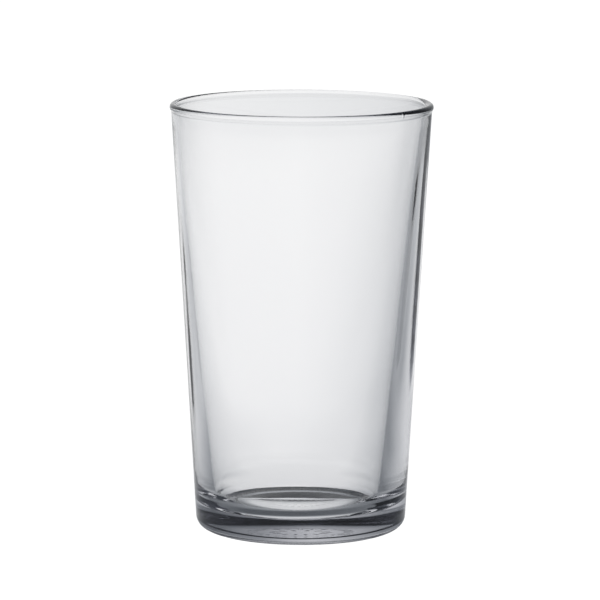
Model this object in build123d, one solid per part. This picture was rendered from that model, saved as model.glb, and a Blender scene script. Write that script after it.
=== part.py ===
from build123d import *
import os
from math import atan, cos, sin, tan

# Pint glass: one pressed and tempered piece of soda-lime glass, turned about +Z.
# Millimetres. Z = 0 is the plane of the bearing ring that the glass stands on.

# The outside: a straight taper, where its line would meet Z = 0 and the rim plane
HEIGHT = 148.5
RIM_DIAMETER = 91.0
WALL_FOOT_RADIUS = 36.35
WALL_TOP_RADIUS = 45.1
FOOT_ROUNDING = 4.3  # between the bearing ring and the outer wall

# The fire-polished lip: a round bead, which the inner wall runs into tangentially
LIP_RADIUS = 1.35
NECK_ROUNDING = 2.5  # the hollow under the bead, outside

# The inside: a steeper taper, so that the wall thickens towards the base, and a dished floor
INNER_SLOPE = 0.102
FLOOR_HEIGHT = 5.7  # in the middle
FLOOR_SLOPE = 0.137  # of the floor's outer part, where it meets the rounding
FLOOR_BEND_RADIUS = 6.0  # where that slope's line would meet the floor's middle height
FLOOR_ROUNDING = 9.3

# The underside: a shallow recess inside the bearing ring, raised a little more in the middle
RECESS_EDGE_RADIUS = 26.9
RECESS_TOP_RADIUS = 23.8
RECESS_CROWN_RADIUS = 15.8
RECESS_STEP = 0.8
RECESS_DEPTH = 1.1
RECESS_ROUNDING = 0.3

# Moulded marks on the recess: plain rings of short radial bars, as (ring radius, count)
MARK_RINGS = ((11.0, 28), (6.0, 14))
MARK_LENGTH = 2.0
MARK_WIDTH = 0.7
MARK_RELIEF = 0.2
MARK_ROOT = 1.0  # how far each bar reaches up into the base, to be one with it

LIP_CENTRE = (RIM_DIAMETER / 2 - LIP_RADIUS, HEIGHT - LIP_RADIUS)
INNER_TILT = atan(INNER_SLOPE)
DISH_RADIUS = 0.98 * FLOOR_BEND_RADIUS / tan(atan(FLOOR_SLOPE) / 2)


def outer_radius(height):
    """Radius of the straight outer wall at a height."""
    return WALL_FOOT_RADIUS + (WALL_TOP_RADIUS - WALL_FOOT_RADIUS) * height / HEIGHT


def inner_radius(height):
    """Radius of the straight inner wall, a tangent of the lip's bead, at a height."""
    at_lip_centre = LIP_CENTRE[0] - LIP_RADIUS / cos(INNER_TILT)
    return at_lip_centre + INNER_SLOPE * (height - LIP_CENTRE[1])


def recess_height(radius):
    """Height of the recess's crown, a circular arc that rises to the middle."""
    rise = RECESS_DEPTH - RECESS_STEP
    arc_radius = (RECESS_CROWN_RADIUS**2 + rise**2) / (2 * rise)
    return RECESS_DEPTH - arc_radius + (arc_radius**2 - radius**2) ** 0.5


def rounded(section, corner, radius):
    """The section with its corner nearest to a point rounded."""
    return fillet(section.vertices().sort_by_distance((*corner, 0))[0], radius)


def half_section():
    """Half of the glass's section, drawn with X as radius and Y as height."""
    middle = RECESS_CROWN_RADIUS / 2
    crown = ThreePointArc(
        (0, RECESS_DEPTH),
        (middle, recess_height(middle)),
        (RECESS_CROWN_RADIUS, RECESS_STEP),
    )
    recess_top = (RECESS_TOP_RADIUS, RECESS_STEP)
    recess_edge = (RECESS_EDGE_RADIUS, 0)
    foot_corner = (outer_radius(0), 0)
    neck_corner = (outer_radius(HEIGHT - 2 * LIP_RADIUS), HEIGHT - 2 * LIP_RADIUS)
    wall_foot = inner_radius(FLOOR_HEIGHT)
    corner_rise = (wall_foot - FLOOR_BEND_RADIUS) * FLOOR_SLOPE / (1 - INNER_SLOPE * FLOOR_SLOPE)
    floor_corner = (wall_foot + INNER_SLOPE * corner_rise, FLOOR_HEIGHT + corner_rise)
    floor_bend = (FLOOR_BEND_RADIUS, FLOOR_HEIGHT)
    walls = Polyline(
        crown @ 1,
        recess_top,
        recess_edge,
        foot_corner,
        (outer_radius(LIP_CENTRE[1]), LIP_CENTRE[1]),
        LIP_CENTRE,
        (LIP_CENTRE[0] - LIP_RADIUS * cos(INNER_TILT), LIP_CENTRE[1] + LIP_RADIUS * sin(INNER_TILT)),
        floor_corner,
        floor_bend,
        (0, FLOOR_HEIGHT),
        crown @ 0,
    )
    section = make_face(Curve([crown, walls])) + Pos(*LIP_CENTRE) * Circle(LIP_RADIUS)
    section = rounded(section, neck_corner, NECK_ROUNDING)
    section = rounded(section, floor_corner, FLOOR_ROUNDING)
    section = rounded(section, floor_bend, DISH_RADIUS)
    section = rounded(section, foot_corner, FOOT_ROUNDING)
    section = rounded(section, recess_edge, RECESS_ROUNDING)
    return rounded(section, recess_top, RECESS_ROUNDING)


def moulded_marks():
    """Rings of raised bars with round ends, from below the recess up into the base."""
    rings = []
    for ring_radius, count in MARK_RINGS:
        bars = PolarLocations(ring_radius, count) * SlotOverall(MARK_LENGTH, MARK_WIDTH)
        bottom = recess_height(ring_radius) - MARK_RELIEF
        rings.append(Pos(0, 0, bottom) * extrude(Sketch(bars), MARK_RELIEF + MARK_ROOT))
    return rings


tumbler = revolve(Plane.XZ * half_section(), Axis.Z) + moulded_marks()
tumbler.label = "tumbler"

os.makedirs("parts", exist_ok=True)
export_step(tumbler, "parts/tumbler.step")

print("volume of glass, cm3:", round(tumbler.volume / 1000, 1))
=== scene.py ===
import math
import random

import bpy
from mathutils import Matrix, Vector, noise


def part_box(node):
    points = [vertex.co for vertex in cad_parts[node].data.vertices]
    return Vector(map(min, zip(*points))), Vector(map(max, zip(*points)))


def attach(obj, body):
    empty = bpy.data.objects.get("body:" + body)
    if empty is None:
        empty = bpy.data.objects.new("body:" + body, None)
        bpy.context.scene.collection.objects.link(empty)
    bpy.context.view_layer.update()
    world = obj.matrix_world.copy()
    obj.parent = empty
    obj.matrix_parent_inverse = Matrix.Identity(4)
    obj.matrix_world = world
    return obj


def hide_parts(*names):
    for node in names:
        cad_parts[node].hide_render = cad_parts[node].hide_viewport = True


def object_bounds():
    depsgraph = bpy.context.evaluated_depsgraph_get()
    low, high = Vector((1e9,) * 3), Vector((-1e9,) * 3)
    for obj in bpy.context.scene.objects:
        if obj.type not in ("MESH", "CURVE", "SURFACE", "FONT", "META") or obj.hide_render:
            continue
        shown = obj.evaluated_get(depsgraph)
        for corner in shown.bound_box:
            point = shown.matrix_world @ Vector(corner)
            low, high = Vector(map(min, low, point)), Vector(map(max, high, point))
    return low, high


# Pint glass in Blender: one turned and pressed piece of clear glass on a pale floor.
# The glass's own sizes are in millimetres, and its outline is drawn as radius and height.
# The stage and the camera are in metres, as everything is in Blender.

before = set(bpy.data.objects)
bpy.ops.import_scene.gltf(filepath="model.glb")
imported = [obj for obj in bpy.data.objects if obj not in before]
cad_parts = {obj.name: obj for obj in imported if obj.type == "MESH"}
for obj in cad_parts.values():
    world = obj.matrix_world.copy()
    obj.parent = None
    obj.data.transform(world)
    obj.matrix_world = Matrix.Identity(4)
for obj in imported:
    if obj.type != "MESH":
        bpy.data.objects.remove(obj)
cad_low, cad_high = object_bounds()

MM = 0.001
NODE = "tumbler"

low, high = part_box(NODE)
HEIGHT = (high[2] - low[2]) / MM
RIM_RADIUS = (high[0] - low[0]) / 2 / MM

# The glass's own sizes, the same as in the CAD part
WALL_FOOT_RADIUS = 36.35
WALL_TOP_RADIUS = 45.1
FOOT_ROUNDING = 4.3
LIP_RADIUS = 1.35
NECK_ROUNDING = 2.5
INNER_SLOPE = 0.102
FLOOR_HEIGHT = 5.7
FLOOR_ROUNDING = 9.3
FLOOR_SLOPE = 0.137
FLOOR_BEND_RADIUS = 6.0
FLOOR_BEND_SHARE = 0.98  # how much of the room it has the rounding of that bend takes
RECESS_EDGE_RADIUS = 26.9
RECESS_TOP_RADIUS = 23.8
RECESS_CROWN_RADIUS = 15.8
RECESS_STEP = 0.8
RECESS_DEPTH = 1.1
RECESS_ROUNDING = 0.3

# Moulded marks on the underside: rings of short radial bars, as (ring radius, count)
MARK_RINGS = ((11.0, 28), (6.0, 14))
MARK_LENGTH = 2.0
MARK_WIDTH = 0.7
MARK_RELIEF = 0.2
MARK_SIDE = (0.38, 0.62)  # where a bar's sloping side starts and ends, as shares of its width

# What the press leaves: two mould seams, a plunger slightly off centre, gentle waves,
# a stippled bearing ring and a nick in the rim. Angles run from +X towards +Y.
SEAM_ANGLES = (math.radians(-164.3), math.radians(-14.0))
SEAM_WIDTHS = (2.2, 3.0)
SEAM_RELIEFS = (0.12, 0.2)
SEAM_HEIGHTS = ((36.0, 44.0, 96.0, 113.0), (50.0, 60.0, 118.0, 140.0))  # start, full, fading, end
SEAM_STRENGTH = 0.8
SEAM_UNEVENNESS = 0.5
SEAM_UNEVENNESS_LENGTH = 24.0
CAVITY_SHIFT = 1.0
CAVITY_SHIFT_AT_RIM = 0.5
CAVITY_SHIFT_DEPTH = 40.0  # how far below the rim the shift is whole
WAVE_RELIEF = 0.02
WAVE_LENGTH = 16.0
WAVE_STRETCH = 4.0  # how much longer the waves are up the wall than around it
WAVE_RISE = (4.0, 15.0)  # heights between which the waves begin
WAVE_FADE = (8.0, 4.0)  # distances below the rim between which they end
INSIDE_WAVE_OFFSET = 40.0  # so that the inner wall's waves differ from the outer wall's
STIPPLE_RELIEF = 0.05
STIPPLE_RADII = (27.5, 31.2)
STIPPLE_SEED = 8
NICK_ANGLE = math.radians(-41)
NICK_WIDTH = 0.3
NICK_DEPTH = 0.12
NICK_FADE = (1.5, 2.5)  # distances below the rim between which it ends

# Clear soda-lime glass and its finish. Density and the scales of textures are per metre, and the
# grain's relief is in millimetres.
REFRACTIVE_INDEX = 1.52
BODY_COLOUR = (0.5, 0.505, 0.56, 1.0)
BODY_DENSITY = 15.0
SMUDGE_SCALE = 45.0
SMUDGE_DETAIL = 8.0
SMUDGE_RANGE = (0.52, 0.75)  # the noise's values between which a smudge comes up
SMUDGE_ROUGHNESS = 0.06
GRAIN_SCALE = 450.0
GRAIN_DETAIL = 3.0
GRAIN_RELIEF = 0.004

# Fineness of the turned mesh
SEGMENTS = 480
FINE_SPREAD = math.radians(3.0)
FINE_STEPS = 30
ARC_STEP = math.radians(8)
FEWEST_ARC_STEPS = 3
WALL_ROWS = 28
FLAT_ROWS = 8
BEARING_ROWS = 16
RECESS_SLOPE_ROWS = 3
FLOOR_SLOPE_ROWS = 4
MARK_ROWS = 10
MARK_MARGIN = 0.3

# The stage, in metres: a pale floor that glows softly. The camera sees it plain. Through the glass its glow
# is painted light and shade that stand in for studio cards, with a painted contact shadow under the glass:
# in rings, which go over into each other with the distance from the middle of the glass; the sky beyond is
# lit in two bands.
# Each list gives levels round the compass in degrees: 0 is behind the glass, positive is to the right of
# that and 180 is in front of it.
FLOOR_SIZE = 8.0
FLOOR_GAP = 0.02 * MM
FLOOR_LEVEL = 1.05
FLOOR_ALBEDO = 0.15
COOLNESS = (0.09, 0.05, 0.0)  # red, green and blue: how much each falls as a level darkens
UNDER_LEVELS = [(-180, 0.8), (0, 0.6), (180, 0.8)]
# Painted contact shadow: the floor's glow under the glass's bearing ring, darkest in front
CONTACT_SHADOW_LEVELS = [(-180, 0.1), (-130, 0.1), (-40, 0.4), (40, 0.4), (130, 0.15), (180, 0.1)]
# Painted light and shade in the floor's glow round the glass, for studio cards that are not in the scene:
# dark at the sides, bright behind
EDGE_LEVELS = [
    (-180, 0.6), (-130, 0.25), (-90, 0.15), (-45, 0.85), (0, 1.0), (45, 0.7), (90, 0.15), (130, 0.25),
    (180, 0.6)
]
CLOSE_LEVELS = [(-180, 0.4), (-100, 0.3), (-45, 0.9), (30, 0.9), (100, 0.25), (180, 0.4)]
NEAR_LEVELS = [(-180, 0.4), (-80, 0.25), (-20, 0.9), (20, 0.9), (80, 0.2), (180, 0.4)]
MIDDLE_LEVELS = [(-180, 0.6), (-70, 0.35), (-20, 0.9), (-5, 0.95), (20, 0.85), (65, 0.25), (180, 0.6)]
FAR_LEVELS = [
    (-180, 0.9), (-90, 0.8), (-45, 0.55), (-15, 1.0), (5, 0.95), (20, 0.8), (45, 0.4), (70, 0.3),
    (90, 0.55), (180, 0.9)
]
LOW_SKY_LEVELS = [
    (-180, 0.7), (-90, 0.4), (-40, 0.3), (-5, 0.9), (5, 0.8), (15, 0.4), (45, 0.15), (90, 0.5), (180, 0.7)
]
HIGH_SKY_LEVELS = [
    (-180, 0.3), (-70, 0.15), (-30, 0.5), (-5, 0.8), (15, 0.45), (45, 0.15), (90, 0.2), (180, 0.3)
]
OVERHEAD_LEVELS = [(0, 1.0), (15, 1.0), (30, 0.55), (45, 0.2), (60, 0.05)]  # by height, not compass
UNDER_TO_CONTACT = (0.0175, 0.0235)
CONTACT_TO_EDGE = (0.0290, 0.0335)
EDGE_TO_CLOSE = (0.036, 0.039)
CLOSE_TO_NEAR = (0.045, 0.058)
NEAR_TO_MIDDLE = (0.075, 0.110)
MIDDLE_TO_FAR = (0.13, 0.20)
FAR_TO_SKY = (0.7, 1.1)
LOW_TO_HIGH = (math.radians(4), math.radians(14))

# Camera, in metres; its lens is in millimetres
CAMERA_DISTANCE = 1.329
CAMERA_HEIGHT = 0.2904
CAMERA_SIDE = -0.0004
CAMERA_PITCH = math.radians(9.009)
CAMERA_ROLL = math.radians(0.15)
CAMERA_LENS = 232.6
LIGHT_BOUNCES = 32


def ease(value, start, end):
    """0 up to start, 1 from end on, and smooth between them."""
    share = min(1.0, max(0.0, (value - start) / (end - start)))
    return share * share * (3 - 2 * share)


def hump(offset, width):
    """A smooth rise that is 1 in the middle and all but gone at twice its width."""
    return math.exp(-((offset / width) ** 2))


def polar(centre, radius, angle):
    """The point at an angle on a circle, as (radius, height)."""
    return (centre[0] + radius * math.cos(angle), centre[1] + radius * math.sin(angle))


def arc(centre, radius, start, end):
    """Points along an arc, both ends included."""
    steps = max(FEWEST_ARC_STEPS, math.ceil(abs(end - start) / ARC_STEP))
    return [polar(centre, radius, start + (end - start) * k / steps) for k in range(steps + 1)]


def line(start, end, rows):
    """Points along a straight stretch, without its two ends."""
    return [
        (start[0] + (end[0] - start[0]) * k / rows, start[1] + (end[1] - start[1]) * k / rows)
        for k in range(1, rows)
    ]


def rounded_corner(before, corner, after, radius):
    """The arc that rounds a corner of the outline."""
    at = Vector(corner)
    back = (Vector(before) - at).normalized()
    ahead = (Vector(after) - at).normalized()
    half_angle = back.angle(ahead) / 2
    centre = at + (back + ahead).normalized() * (radius / math.sin(half_angle))
    first = at + back * (radius / math.tan(half_angle)) - centre
    last = at + ahead * (radius / math.tan(half_angle)) - centre
    start = math.atan2(first.y, first.x)
    turn = (math.atan2(last.y, last.x) - start + math.pi) % math.tau - math.pi
    return arc(centre, radius, start, start + turn)


def outer_radius(height):
    """Radius of the straight outer wall at a height."""
    return WALL_FOOT_RADIUS + (WALL_TOP_RADIUS - WALL_FOOT_RADIUS) * height / HEIGHT


def ceiling_radii():
    """Radii at which the recess's ceiling has points: closer together across the marks."""
    radii = [RECESS_CROWN_RADIUS * k / FLAT_ROWS for k in range(FLAT_ROWS + 1)]
    for ring_radius, _ in MARK_RINGS:
        near = ring_radius - MARK_LENGTH / 2 - MARK_MARGIN
        far = ring_radius + MARK_LENGTH / 2 + MARK_MARGIN
        radii = [radius for radius in radii if not near < radius < far]
        radii += [near + (far - near) * k / MARK_ROWS for k in range(MARK_ROWS + 1)]
    return sorted(radii)


def outline():
    """The glass's half section, from the axis underneath round to the axis inside.

    Each point is (radius, height, side): side is 0 outside, 1 inside, and rises over the bead."""
    lip_centre = (RIM_RADIUS - LIP_RADIUS, HEIGHT - LIP_RADIUS)
    inner_tilt = math.atan(INNER_SLOPE)
    outer_tilt = math.atan((WALL_TOP_RADIUS - WALL_FOOT_RADIUS) / HEIGHT)

    # The recess: a crowned ceiling, then a step down to the bearing ring
    rise = RECESS_DEPTH - RECESS_STEP
    crown_radius = (RECESS_CROWN_RADIUS**2 + rise**2) / (2 * rise)
    crown_height = RECESS_DEPTH - crown_radius
    ceiling = [(r, crown_height + math.sqrt(crown_radius**2 - r**2)) for r in ceiling_radii()]
    ceiling_edge = (RECESS_TOP_RADIUS, RECESS_STEP)
    recess_edge = (RECESS_EDGE_RADIUS, 0.0)
    step_top = rounded_corner(ceiling[-1], ceiling_edge, recess_edge, RECESS_ROUNDING)
    foot_corner = (WALL_FOOT_RADIUS, 0.0)
    step_bottom = rounded_corner(ceiling_edge, recess_edge, foot_corner, RECESS_ROUNDING)

    # The foot and the outer wall, up to the hollow under the lip
    wall_top = (WALL_TOP_RADIUS, HEIGHT)
    foot = rounded_corner(recess_edge, foot_corner, wall_top, FOOT_ROUNDING)
    wall_normal = -outer_tilt
    lip_inset = (outer_radius(lip_centre[1]) - lip_centre[0]) * math.cos(outer_tilt)
    bead_start = wall_normal - math.acos((NECK_ROUNDING + lip_inset) / (NECK_ROUNDING + LIP_RADIUS))
    neck_centre = polar(lip_centre, NECK_ROUNDING + LIP_RADIUS, bead_start)
    neck = arc(neck_centre, NECK_ROUNDING, wall_normal - math.pi, bead_start - math.pi)

    # The bead, which the inner wall leaves tangentially, and the floor
    bead = arc(lip_centre, LIP_RADIUS, bead_start, math.pi - inner_tilt)
    inner_top = bead[-1][0] - INNER_SLOPE * (bead[-1][1] - FLOOR_HEIGHT)
    corner_rise = (inner_top - FLOOR_BEND_RADIUS) * FLOOR_SLOPE / (1 - INNER_SLOPE * FLOOR_SLOPE)
    floor_corner = (inner_top + INNER_SLOPE * corner_rise, FLOOR_HEIGHT + corner_rise)
    floor_bend = (FLOOR_BEND_RADIUS, FLOOR_HEIGHT)
    floor_centre = (0.0, FLOOR_HEIGHT)
    corner = rounded_corner(bead[-1], floor_corner, floor_bend, FLOOR_ROUNDING)
    floor_tilt = math.atan(FLOOR_SLOPE)
    dish_radius = FLOOR_BEND_SHARE * FLOOR_BEND_RADIUS / math.tan(floor_tilt / 2)
    dish_ends = rounded_corner(floor_corner, floor_bend, floor_centre, dish_radius)
    dish_centre = (dish_ends[-1][0], FLOOR_HEIGHT + dish_radius)
    dish_angles = [floor_tilt * (1 - k / FLAT_ROWS) - math.pi / 2 for k in range(FLAT_ROWS + 1)]
    dish = [polar(dish_centre, dish_radius, angle) for angle in dish_angles]

    outside = ceiling + step_top + line(step_top[-1], step_bottom[0], RECESS_SLOPE_ROWS) + step_bottom
    outside += line(step_bottom[-1], foot[0], BEARING_ROWS) + foot
    outside += line(foot[-1], neck[0], WALL_ROWS) + neck
    over = bead[1:]
    inside = line(bead[-1], corner[0], WALL_ROWS) + corner
    inside += line(corner[-1], dish[0], FLOOR_SLOPE_ROWS) + dish + [floor_centre]
    points = [(*point, 0.0) for point in outside]
    points += [(*point, ease(k + 1, len(over) / 2, len(over))) for k, point in enumerate(over)]
    return points + [(*point, 1.0) for point in inside]


def turn_angles():
    """Angles of the mesh's meridians: even ones, and finer ones at each seam and at the nick."""
    angles = [math.tau * k / SEGMENTS - math.pi for k in range(SEGMENTS)]
    for at in (*SEAM_ANGLES, NICK_ANGLE):
        angles = [angle for angle in angles if abs(angle - at) > FINE_SPREAD]
        angles += [at + FINE_SPREAD * (2 * k / FINE_STEPS - 1) for k in range(FINE_STEPS + 1)]
    return sorted(angles)


def seams(radius, height, angle):
    """How far the mould seams stand out of the outer wall: more in some stretches than in others."""
    out = 0.0
    for at, width, relief, (start, full, fading, end) in zip(
        SEAM_ANGLES, SEAM_WIDTHS, SEAM_RELIEFS, SEAM_HEIGHTS
    ):
        unevenness = noise.noise(Vector((at, 0.0, height / SEAM_UNEVENNESS_LENGTH)))
        strength = ease(height, start, full) * (1 - ease(height, fading, end))
        strength *= SEAM_STRENGTH + SEAM_UNEVENNESS * unevenness
        out += relief * strength * hump((angle - at) * radius, width)
    return out


def mark(radius, angle):
    """How far the moulded bars stand down from the recess's ceiling."""
    for ring_radius, count in MARK_RINGS:
        along = abs(radius - ring_radius) - (MARK_LENGTH - MARK_WIDTH) / 2
        across = ((angle * count / math.tau + 0.5) % 1 - 0.5) * math.tau / count * radius
        away = math.hypot(max(along, 0.0), across)
        if away < MARK_WIDTH:
            return MARK_RELIEF * (1 - ease(away, MARK_WIDTH * MARK_SIDE[0], MARK_WIDTH * MARK_SIDE[1]))
    return 0.0


def shaped(radius, height, side, angle, chance):
    """A point of the glass in metres, with what the press leaves on it."""
    across, along = math.cos(angle), math.sin(angle)
    spot = Vector((radius * across, radius * along, height / WAVE_STRETCH)) / WAVE_LENGTH
    spot += Vector((0.0, 0.0, INSIDE_WAVE_OFFSET * side))
    wall = ease(height, *WAVE_RISE) * (1 - ease(height, HEIGHT - WAVE_FADE[0], HEIGHT - WAVE_FADE[1]))
    radius += WAVE_RELIEF * wall * noise.noise(spot)
    if side == 0.0:
        radius += seams(radius, height, angle)
        if height > 0 and radius < RECESS_TOP_RADIUS:
            height -= mark(radius, angle)
        if STIPPLE_RADII[0] < radius < STIPPLE_RADII[1] and height == 0.0:
            height = STIPPLE_RELIEF * chance.random()
    top = HEIGHT - height
    if side < 0.5:
        radius -= NICK_DEPTH * (1 - ease(top, *NICK_FADE)) * hump((angle - NICK_ANGLE) * radius, NICK_WIDTH)
    deeper = ease(top, 0.0, CAVITY_SHIFT_DEPTH)
    shift = CAVITY_SHIFT_AT_RIM + (CAVITY_SHIFT - CAVITY_SHIFT_AT_RIM) * deeper
    return ((radius * across - shift * side) * MM, radius * along * MM, height * MM)


def turned_mesh(name, points):
    """A closed body of revolution whose outline starts and ends on the axis."""
    chance = random.Random(STIPPLE_SEED)
    rings = points[1:-1]
    angles = turn_angles()
    turns = len(angles)
    vertices = [shaped(*points[0], 0.0, chance)]
    for point in rings:
        vertices += [shaped(*point, angle, chance) for angle in angles]
    vertices.append(shaped(*points[-1], 0.0, chance))
    last = len(vertices) - 1
    final = 1 + (len(rings) - 1) * turns
    faces = []
    for k in range(turns):
        after = (k + 1) % turns
        faces.append((0, 1 + after, 1 + k))
        for here in range(1, final, turns):
            there = here + turns
            faces.append((here + k, here + after, there + after, there + k))
        faces.append((final + k, final + after, last))
    mesh = bpy.data.meshes.new(name)
    mesh.from_pydata(vertices, [], faces)
    mesh.polygons.foreach_set("use_smooth", [True] * len(mesh.polygons))
    mesh.update()
    mesh.validate()
    return mesh


def glass_material():
    """Clear soda-lime glass with a slight grey body, faint smudges and a finely uneven polish."""
    material = bpy.data.materials.new("clear_glass")
    material.use_nodes = True
    nodes, links = material.node_tree.nodes, material.node_tree.links
    shader = nodes["Principled BSDF"]
    shader.inputs["Base Color"].default_value = (1.0, 1.0, 1.0, 1.0)
    shader.inputs["IOR"].default_value = REFRACTIVE_INDEX
    shader.inputs["Transmission Weight"].default_value = 1.0
    body = nodes.new("ShaderNodeVolumeAbsorption")
    body.inputs["Color"].default_value = BODY_COLOUR
    body.inputs["Density"].default_value = BODY_DENSITY
    links.new(body.outputs["Volume"], nodes["Material Output"].inputs["Volume"])

    place = nodes.new("ShaderNodeTexCoord")
    smudges = nodes.new("ShaderNodeTexNoise")
    smudges.inputs["Scale"].default_value = SMUDGE_SCALE
    smudges.inputs["Detail"].default_value = SMUDGE_DETAIL
    links.new(place.outputs["Object"], smudges.inputs["Vector"])
    haze = nodes.new("ShaderNodeMapRange")
    haze.inputs["From Min"].default_value, haze.inputs["From Max"].default_value = SMUDGE_RANGE
    haze.inputs["To Max"].default_value = SMUDGE_ROUGHNESS
    links.new(smudges.outputs["Fac"], haze.inputs["Value"])
    links.new(haze.outputs["Result"], shader.inputs["Roughness"])

    grain = nodes.new("ShaderNodeTexNoise")
    grain.inputs["Scale"].default_value = GRAIN_SCALE
    grain.inputs["Detail"].default_value = GRAIN_DETAIL
    links.new(place.outputs["Object"], grain.inputs["Vector"])
    polish = nodes.new("ShaderNodeBump")
    polish.inputs["Distance"].default_value = GRAIN_RELIEF * MM
    links.new(grain.outputs["Fac"], polish.inputs["Height"])
    links.new(polish.outputs["Normal"], shader.inputs["Normal"])
    return material


def add_tumbler():
    mesh = turned_mesh("glass_body", outline())
    glass = bpy.data.objects.new("glass_body", mesh)
    bpy.context.collection.objects.link(glass)
    mesh.materials.append(glass_material())
    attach(glass, "root")
    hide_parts(NODE)


class Shade:
    """Short calls for the arithmetic of a node tree."""

    def __init__(self, tree):
        self.tree = tree

    def math(self, operation, *values):
        node = self.tree.nodes.new("ShaderNodeMath")
        node.operation = operation
        for socket, value in zip(node.inputs, values):
            if isinstance(value, (int, float)):
                socket.default_value = value
            else:
                self.tree.links.new(value, socket)
        return node.outputs[0]

    def smooth(self, value, start, end):
        """0 up to start, 1 from end on, and smooth between them."""
        node = self.tree.nodes.new("ShaderNodeMapRange")
        node.interpolation_type = "SMOOTHSTEP"
        self.tree.links.new(value, node.inputs["Value"])
        node.inputs["From Min"].default_value = start
        node.inputs["From Max"].default_value = end
        return node.outputs["Result"]

    def mix(self, share, first, second):
        """First where share is 0, second where it is 1."""
        kept = self.math("MULTIPLY", first, self.math("SUBTRACT", 1.0, share))
        return self.math("ADD", kept, self.math("MULTIPLY", second, share))

    def axes(self, output):
        """X, Y and Z of one of the texture coordinates."""
        place = self.tree.nodes.new("ShaderNodeTexCoord")
        split = self.tree.nodes.new("ShaderNodeSeparateXYZ")
        self.tree.links.new(place.outputs[output], split.inputs[0])
        return split.outputs

    def compass(self, x, y):
        """Angle from +Y, positive towards +X."""
        return self.math("ARCTAN2", x, y)

    def cooled(self, level):
        """A colour for a level: white at 1, and a little bluer the darker it is."""
        join = self.tree.nodes.new("ShaderNodeCombineColor")
        for socket, power in zip(join.inputs, COOLNESS):
            self.tree.links.new(self.math("POWER", level, power), socket)
        return join.outputs["Color"]

    def levels(self, angle, stops):
        """The level at an angle, from a list of (degrees, level)."""
        ramp = self.tree.nodes.new("ShaderNodeValToRGB")
        self.tree.links.new(self.math("MULTIPLY_ADD", angle, 1 / math.tau, 0.5), ramp.inputs["Fac"])
        band = ramp.color_ramp
        while len(band.elements) < len(stops):
            band.elements.new(0.5)
        for element, (degrees, level) in zip(band.elements, stops):
            element.position = degrees / 360 + 0.5
            element.color = (level, level, level, 1.0)
        return ramp.outputs["Color"]


def floor_material():
    """Plain and pale to the camera; to everything else, ring by ring, painted light and shade that stand in
    for studio cards, with a painted contact shadow under the glass.
    """
    material = bpy.data.materials.new("pale_floor")
    material.use_nodes = True
    shade = Shade(material.node_tree)
    shader = material.node_tree.nodes["Principled BSDF"]
    shader.inputs["Base Color"].default_value = (FLOOR_ALBEDO, FLOOR_ALBEDO, FLOOR_ALBEDO, 1.0)
    shader.inputs["Roughness"].default_value = 1.0
    shader.inputs["Specular IOR Level"].default_value = 0.0
    x, y, _ = shade.axes("Object")
    away = shade.math("SQRT", shade.math("ADD", shade.math("MULTIPLY", x, x), shade.math("MULTIPLY", y, y)))
    angle = shade.compass(x, y)
    # Painted light and shade in the floor's glow, ring by ring round the glass, with a painted contact
    # shadow
    painted_glow = shade.levels(angle, UNDER_LEVELS)
    for change, stops in (
        (UNDER_TO_CONTACT, CONTACT_SHADOW_LEVELS),
        (CONTACT_TO_EDGE, EDGE_LEVELS),
        (EDGE_TO_CLOSE, CLOSE_LEVELS),
        (CLOSE_TO_NEAR, NEAR_LEVELS),
        (NEAR_TO_MIDDLE, MIDDLE_LEVELS),
        (MIDDLE_TO_FAR, FAR_LEVELS),
        (FAR_TO_SKY, LOW_SKY_LEVELS),
    ):
        painted_glow = shade.mix(shade.smooth(away, *change), painted_glow, shade.levels(angle, stops))
    # The camera sees the floor evenly bright; all other rays see the painted levels
    path = material.node_tree.nodes.new("ShaderNodeLightPath")
    painted_glow = shade.mix(path.outputs["Is Camera Ray"], painted_glow, FLOOR_LEVEL)
    material.node_tree.links.new(shade.cooled(painted_glow), shader.inputs["Emission Color"])
    material.node_tree.links.new(painted_glow, shader.inputs["Emission Strength"])
    return material


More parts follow.
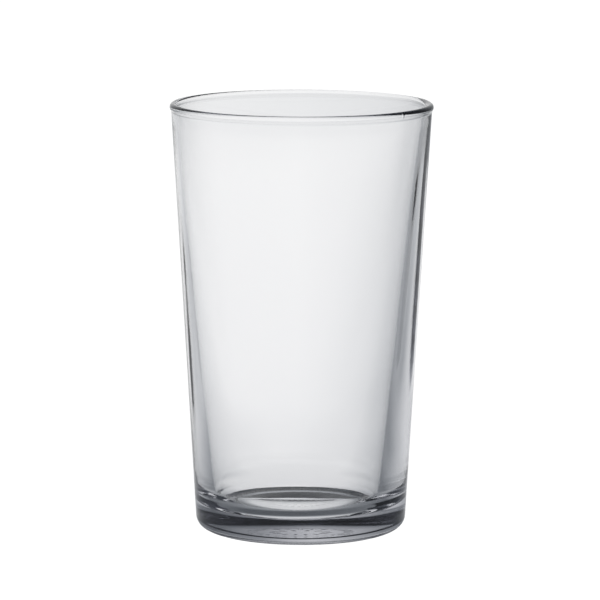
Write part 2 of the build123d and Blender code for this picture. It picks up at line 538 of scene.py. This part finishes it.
def add_floor():
    half = FLOOR_SIZE / 2
    mesh = bpy.data.meshes.new("floor")
    corners = [(-half, -half, 0.0), (half, -half, 0.0), (half, half, 0.0), (-half, half, 0.0)]
    mesh.from_pydata(corners, [], [(0, 1, 2, 3)])
    mesh.materials.append(floor_material())
    floor = bpy.data.objects.new("floor", mesh)
    bpy.context.collection.objects.link(floor)
    floor.location.z = cad_low[2] - FLOOR_GAP


def add_surroundings():
    """Soft light all round: bright low down behind the glass, greyer at the sides, dark overhead."""
    world = bpy.data.worlds.new("studio")
    world.use_nodes = True
    bpy.context.scene.world = world
    shade = Shade(world.node_tree)
    background = world.node_tree.nodes["Background"]
    x, y, z = shade.axes("Generated")
    angle = shade.compass(x, y)
    height = shade.math("ARCSINE", shade.math("ABSOLUTE", z))
    low_sky, high_sky = shade.levels(angle, LOW_SKY_LEVELS), shade.levels(angle, HIGH_SKY_LEVELS)
    level = shade.mix(shade.smooth(height, *LOW_TO_HIGH), low_sky, high_sky)
    level = shade.math("MULTIPLY", level, shade.levels(height, OVERHEAD_LEVELS))
    path = world.node_tree.nodes.new("ShaderNodeLightPath")
    level = shade.mix(path.outputs["Is Camera Ray"], level, FLOOR_LEVEL)
    world.node_tree.links.new(shade.cooled(level), background.inputs["Color"])
    world.node_tree.links.new(level, background.inputs["Strength"])


def add_camera():
    camera_data = bpy.data.cameras.new("camera")
    camera_data.lens = CAMERA_LENS
    camera = bpy.data.objects.new("camera", camera_data)
    bpy.context.collection.objects.link(camera)
    camera.location = (CAMERA_SIDE, -CAMERA_DISTANCE, CAMERA_HEIGHT)
    tilt = Matrix.Rotation(math.pi / 2 - CAMERA_PITCH, 3, "X") @ Matrix.Rotation(CAMERA_ROLL, 3, "Z")
    camera.rotation_euler = tilt.to_euler()
    bpy.context.scene.camera = camera


def set_light_paths():
    """Enough bounces for light to find its way through the thick base."""
    scene = bpy.context.scene
    scene.view_settings.view_transform = "Standard"
    scene.cycles.max_bounces = LIGHT_BOUNCES
    scene.cycles.transmission_bounces = LIGHT_BOUNCES
    scene.cycles.glossy_bounces = LIGHT_BOUNCES
    scene.cycles.blur_glossy = 0.0


add_tumbler()
add_floor()
add_surroundings()
add_camera()
set_light_paths()
